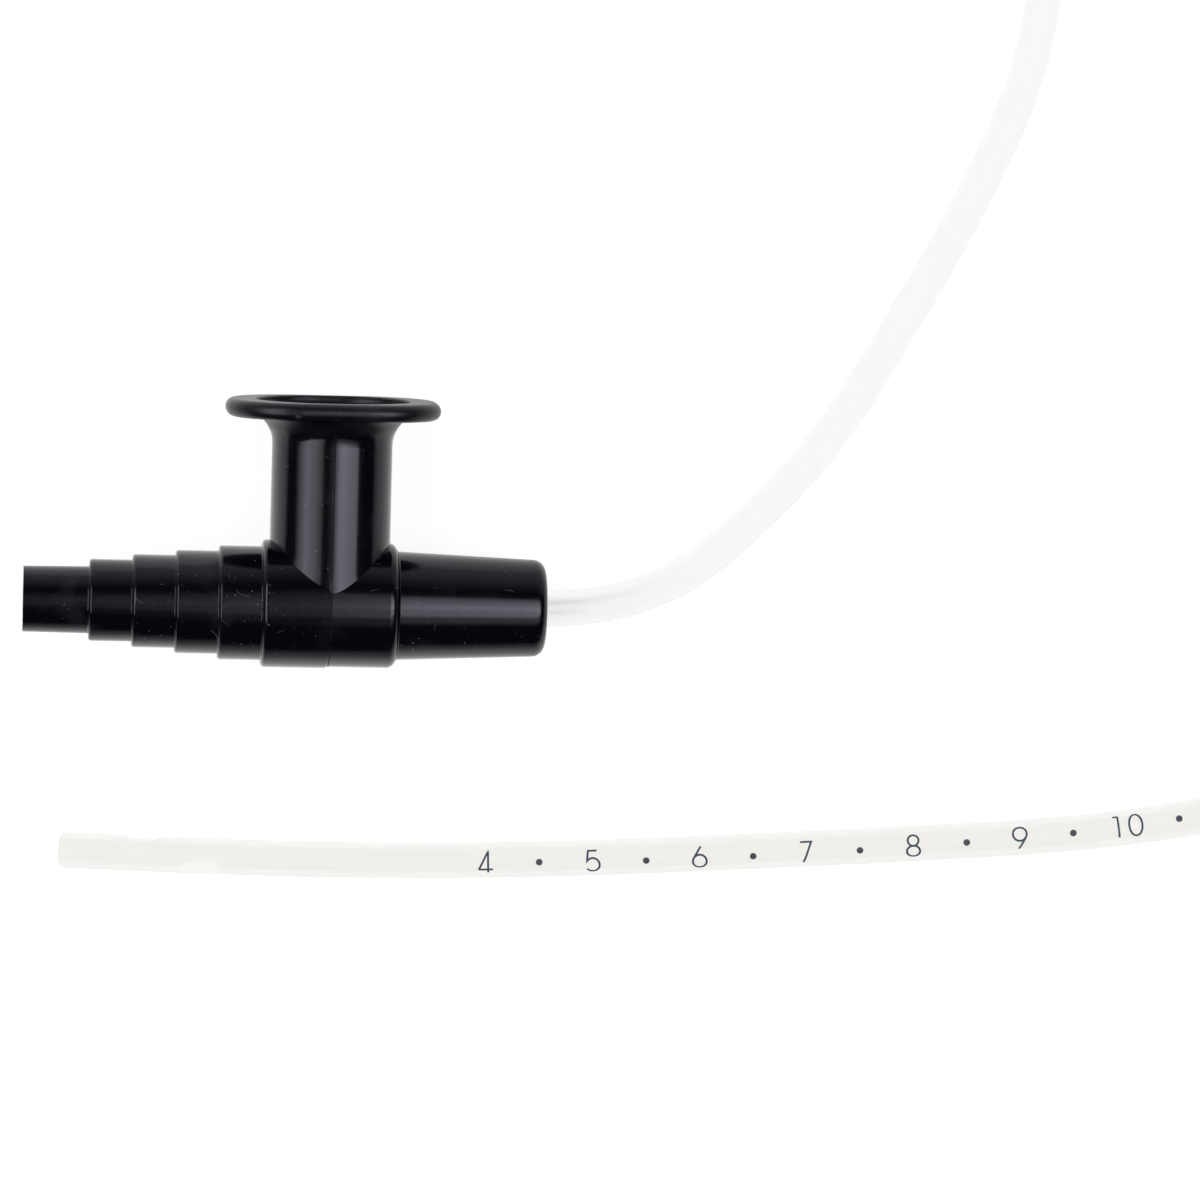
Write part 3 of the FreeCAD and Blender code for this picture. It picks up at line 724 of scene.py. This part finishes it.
def glowing(tree, strength, colour=WHITE):
    """A glow of a strength, which may be a socket or plain."""
    node = tree.nodes.new("ShaderNodeEmission")
    node.inputs["Color"].default_value = (*colour, 1.0)
    feed(tree, node.inputs["Strength"], strength)
    return node.outputs[0]


def matt(tree, grey):
    """A matt surface."""
    node = tree.nodes.new("ShaderNodeBsdfDiffuse")
    node.inputs["Color"].default_value = (grey, grey, grey, 1.0)
    return node.outputs[0]


def choose(tree, factor, first, second):
    """The second shader where the factor is one, or else the first."""
    node = tree.nodes.new("ShaderNodeMixShader")
    for socket, value in zip(node.inputs, (factor, first, second)):
        tree.links.new(value, socket)
    return node.outputs[0]


def ramp(tree, value, stops):
    """A brightness that follows stops of (place in millimetres, brightness)."""
    low, high = stops[0][0], stops[-1][0]
    top = max(level for place, level in stops)
    shades = tree.nodes.new("ShaderNodeValToRGB")
    elements = shades.color_ramp.elements
    while len(elements) < len(stops):
        elements.new(0.5)
    # All places come first, because the elements stay in the order of their places.
    for element, (place, level) in zip(elements, stops):
        element.position = (place - low) / (high - low)
    for element, (place, level) in zip(elements, stops):
        element.color = (level / top, level / top, level / top, 1.0)
    tree.links.new(spread_between(tree, value, low * MM, high * MM, 0.0, 1.0), shades.inputs["Fac"])
    return product(tree, shades.outputs["Color"], top)


def glow(name, colour, ramps):
    """A material that glows by place: brightness stops for each of its axes."""
    material, tree, surface = empty_material(name)
    axes = axes_of(tree, object_place(tree))
    level = product(tree, *(ramp(tree, axes[axis], stops) for axis, stops in ramps.items()))
    tree.links.new(glowing(tree, level, colour), surface)
    return material


def sheet(name, corners, material):
    """A flat staging sheet with corners in millimetres."""
    mesh = bpy.data.meshes.new(name)
    mesh.from_pydata([tuple(value * MM for value in corner) for corner in corners], [], [(0, 1, 2, 3)])
    mesh.materials.append(material)
    obj = link(bpy.data.objects.new(name, mesh))
    return obj


def panel(name, colour, corners, ramps):
    """A glowing sheet that lights the object and shows in its reflections only."""
    obj = sheet(name, corners, glow(name, colour, ramps))
    obj.visible_camera = False
    obj.visible_shadow = False


def level_corners(low, high, height):
    """Corners of a level rectangle."""
    return [(low[0], low[1], height), (high[0], low[1], height),
            (high[0], high[1], height), (low[0], high[1], height)]


# The table is white to the camera and keeps a faint shadow. To the glossy
# plastic it glows with a painted pool of light and shade that darkens away from the
# object, most of all towards the viewer. To light through the tube, and over the
# short way from tube to table, it is white.

TABLE_HALF, TABLE_HEIGHT = 1500, -0.02                      # in millimetres
NEAR_TABLE = (2.6 * MM, 3.9 * MM)   # rays from the tube to the table are shorter than the first
TABLE_GLOW, TABLE_GREY, BOUNCE_GREY = 0.9, 0.2, 0.9
# Brightness stops of the painted light and shade on the table, as the glossy plastic sees it.
LIGHT_POOL_TOWARDS = [(-260, 0.02), (-130, 0.1), (-58, 0.34), (-36, 0.5), (-28, 0.88), (-20, 1.08),
                 (0, 1.0), (30, 0.85), (600, 0.8)]
LIGHT_POOL_SIDEWAYS = [(-300, 0.35), (-50, 0.8), (-22, 0.95), (-12, 1.1), (10, 1.0), (25, 0.85),
                  (40, 0.7), (95, 0.45), (300, 0.15)]


def white_table():
    """The table's material."""
    material, tree, surface = empty_material("white_table")
    axes = axes_of(tree, object_place(tree))
    rays = tree.nodes.new("ShaderNodeLightPath").outputs
    seen = tree.nodes.new("ShaderNodeAddShader")
    tree.links.new(glowing(tree, TABLE_GLOW), seen.inputs[0])
    tree.links.new(matt(tree, TABLE_GREY), seen.inputs[1])
    # The painted pool of light and shade that the glossy plastic sees on the table.
    painted_light_pool = product(tree, ramp(tree, axes["Y"], LIGHT_POOL_TOWARDS), ramp(tree, axes["X"], LIGHT_POOL_SIDEWAYS))
    near = spread_between(tree, rays["Ray Length"], *NEAR_TABLE, 1.0, 0.0)
    through_or_near = reckon(tree, "MAXIMUM", rays["Transmission Depth"], near)
    look = choose(tree, rays["Is Camera Ray"], matt(tree, BOUNCE_GREY), seen.outputs[0])
    look = choose(tree, rays["Is Glossy Ray"], look, glowing(tree, painted_light_pool))
    look = choose(tree, through_or_near, look, glowing(tree, 1.0))
    tree.links.new(look, surface)
    material.cycles.emission_sampling = "NONE"
    return material


sheet("table", level_corners((-TABLE_HALF, -TABLE_HALF), (TABLE_HALF, TABLE_HALF), TABLE_HEIGHT),
      white_table())

ROOM_GREY = (0.02, 0.02, 0.022)


def room():
    """A dim world that is white to light through the tube."""
    world = bpy.data.worlds.new("room")
    world.use_nodes = True
    world.cycles.sampling_method = "NONE"
    tree = world.node_tree
    dim, pale = tree.nodes["Background"], tree.nodes.new("ShaderNodeBackground")
    for node, colour in ((dim, ROOM_GREY), (pale, WHITE)):
        node.inputs["Color"].default_value = (*colour, 1.0)
    depth = tree.nodes.new("ShaderNodeLightPath").outputs["Transmission Depth"]
    look = choose(tree, depth, dim.outputs[0], pale.outputs[0])
    tree.links.new(look, tree.nodes["World Output"].inputs["Surface"])
    return world


scene.world = room()

# Two softboxes and a warm strip above, and a pale wall behind. Brightness
# stops are (place in millimetres, brightness).

PANEL_HEIGHT, STRIP_HEIGHT = 600, 595
RIGHT_ACROSS = [(-30, 0.0), (0, 0.2), (40, 0.24), (75, 0.2), (86, 0.3), (96, 1.15), (110, 1.45),
                (150, 1.75), (195, 3.6), (300, 3.75), (540, 2.95), (840, 2.9), (850, 2.0)]
RIGHT_AWAY = [(-560, 0.02), (-520, 0.08), (-445, 0.1), (-436, 0.5), (-426, 0.2), (-361, 0.2),
              (-285, 0.26), (-226, 0.95), (-145, 0.85), (-90, 1.05), (-48, 1.35), (3, 1.15),
              (45, 0.95), (97, 0.78), (140, 0.6), (196, 0.4), (230, 0.05)]
LEFT_ACROSS = [(-1500, 0.0), (-1250, 0.55), (-1060, 1.2), (-780, 2.1), (-566, 3.2), (-430, 2.45),
               (-320, 2.25), (-225, 1.5), (-170, 0.9), (-130, 0.2)]
WALL_UP = [(0, 0.5), (117, 0.47), (255, 0.38), (390, 0.26), (470, 0.17), (560, 0.13), (700, 0.1)]
STRIP_ACROSS = [(-165, 1.7), (-145, 1.7)]

panel("softbox_right", (1.0, 0.97, 1.0), level_corners((-30, -560), (850, 230), PANEL_HEIGHT),
      {"X": RIGHT_ACROSS, "Y": RIGHT_AWAY})
panel("softbox_left", (0.96, 1.0, 1.0), level_corners((-1500, -450), (-130, 450), PANEL_HEIGHT),
      {"X": LEFT_ACROSS})
panel("warm_strip", (1.0, 0.62, 0.4), level_corners((-165, -450), (-145, 450), STRIP_HEIGHT),
      {"X": STRIP_ACROSS})
panel("wall", WHITE, [(-1500, 600, 0), (1500, 600, 0), (1500, 600, 700), (-1500, 600, 700)],
      {"Z": WALL_UP})

# What each piece stands for. The middles of the rings, each once, are worked out as the cord's path, but
# nothing here uses them.

ring_places = np.unique(np.round(FREE - stations[:, 0], decimals=9))
ring_centres = line.at(ring_places)[0]
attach(tube, "root")
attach(numbers, "root")
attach(dots, "root")
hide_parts("catheter_tube")
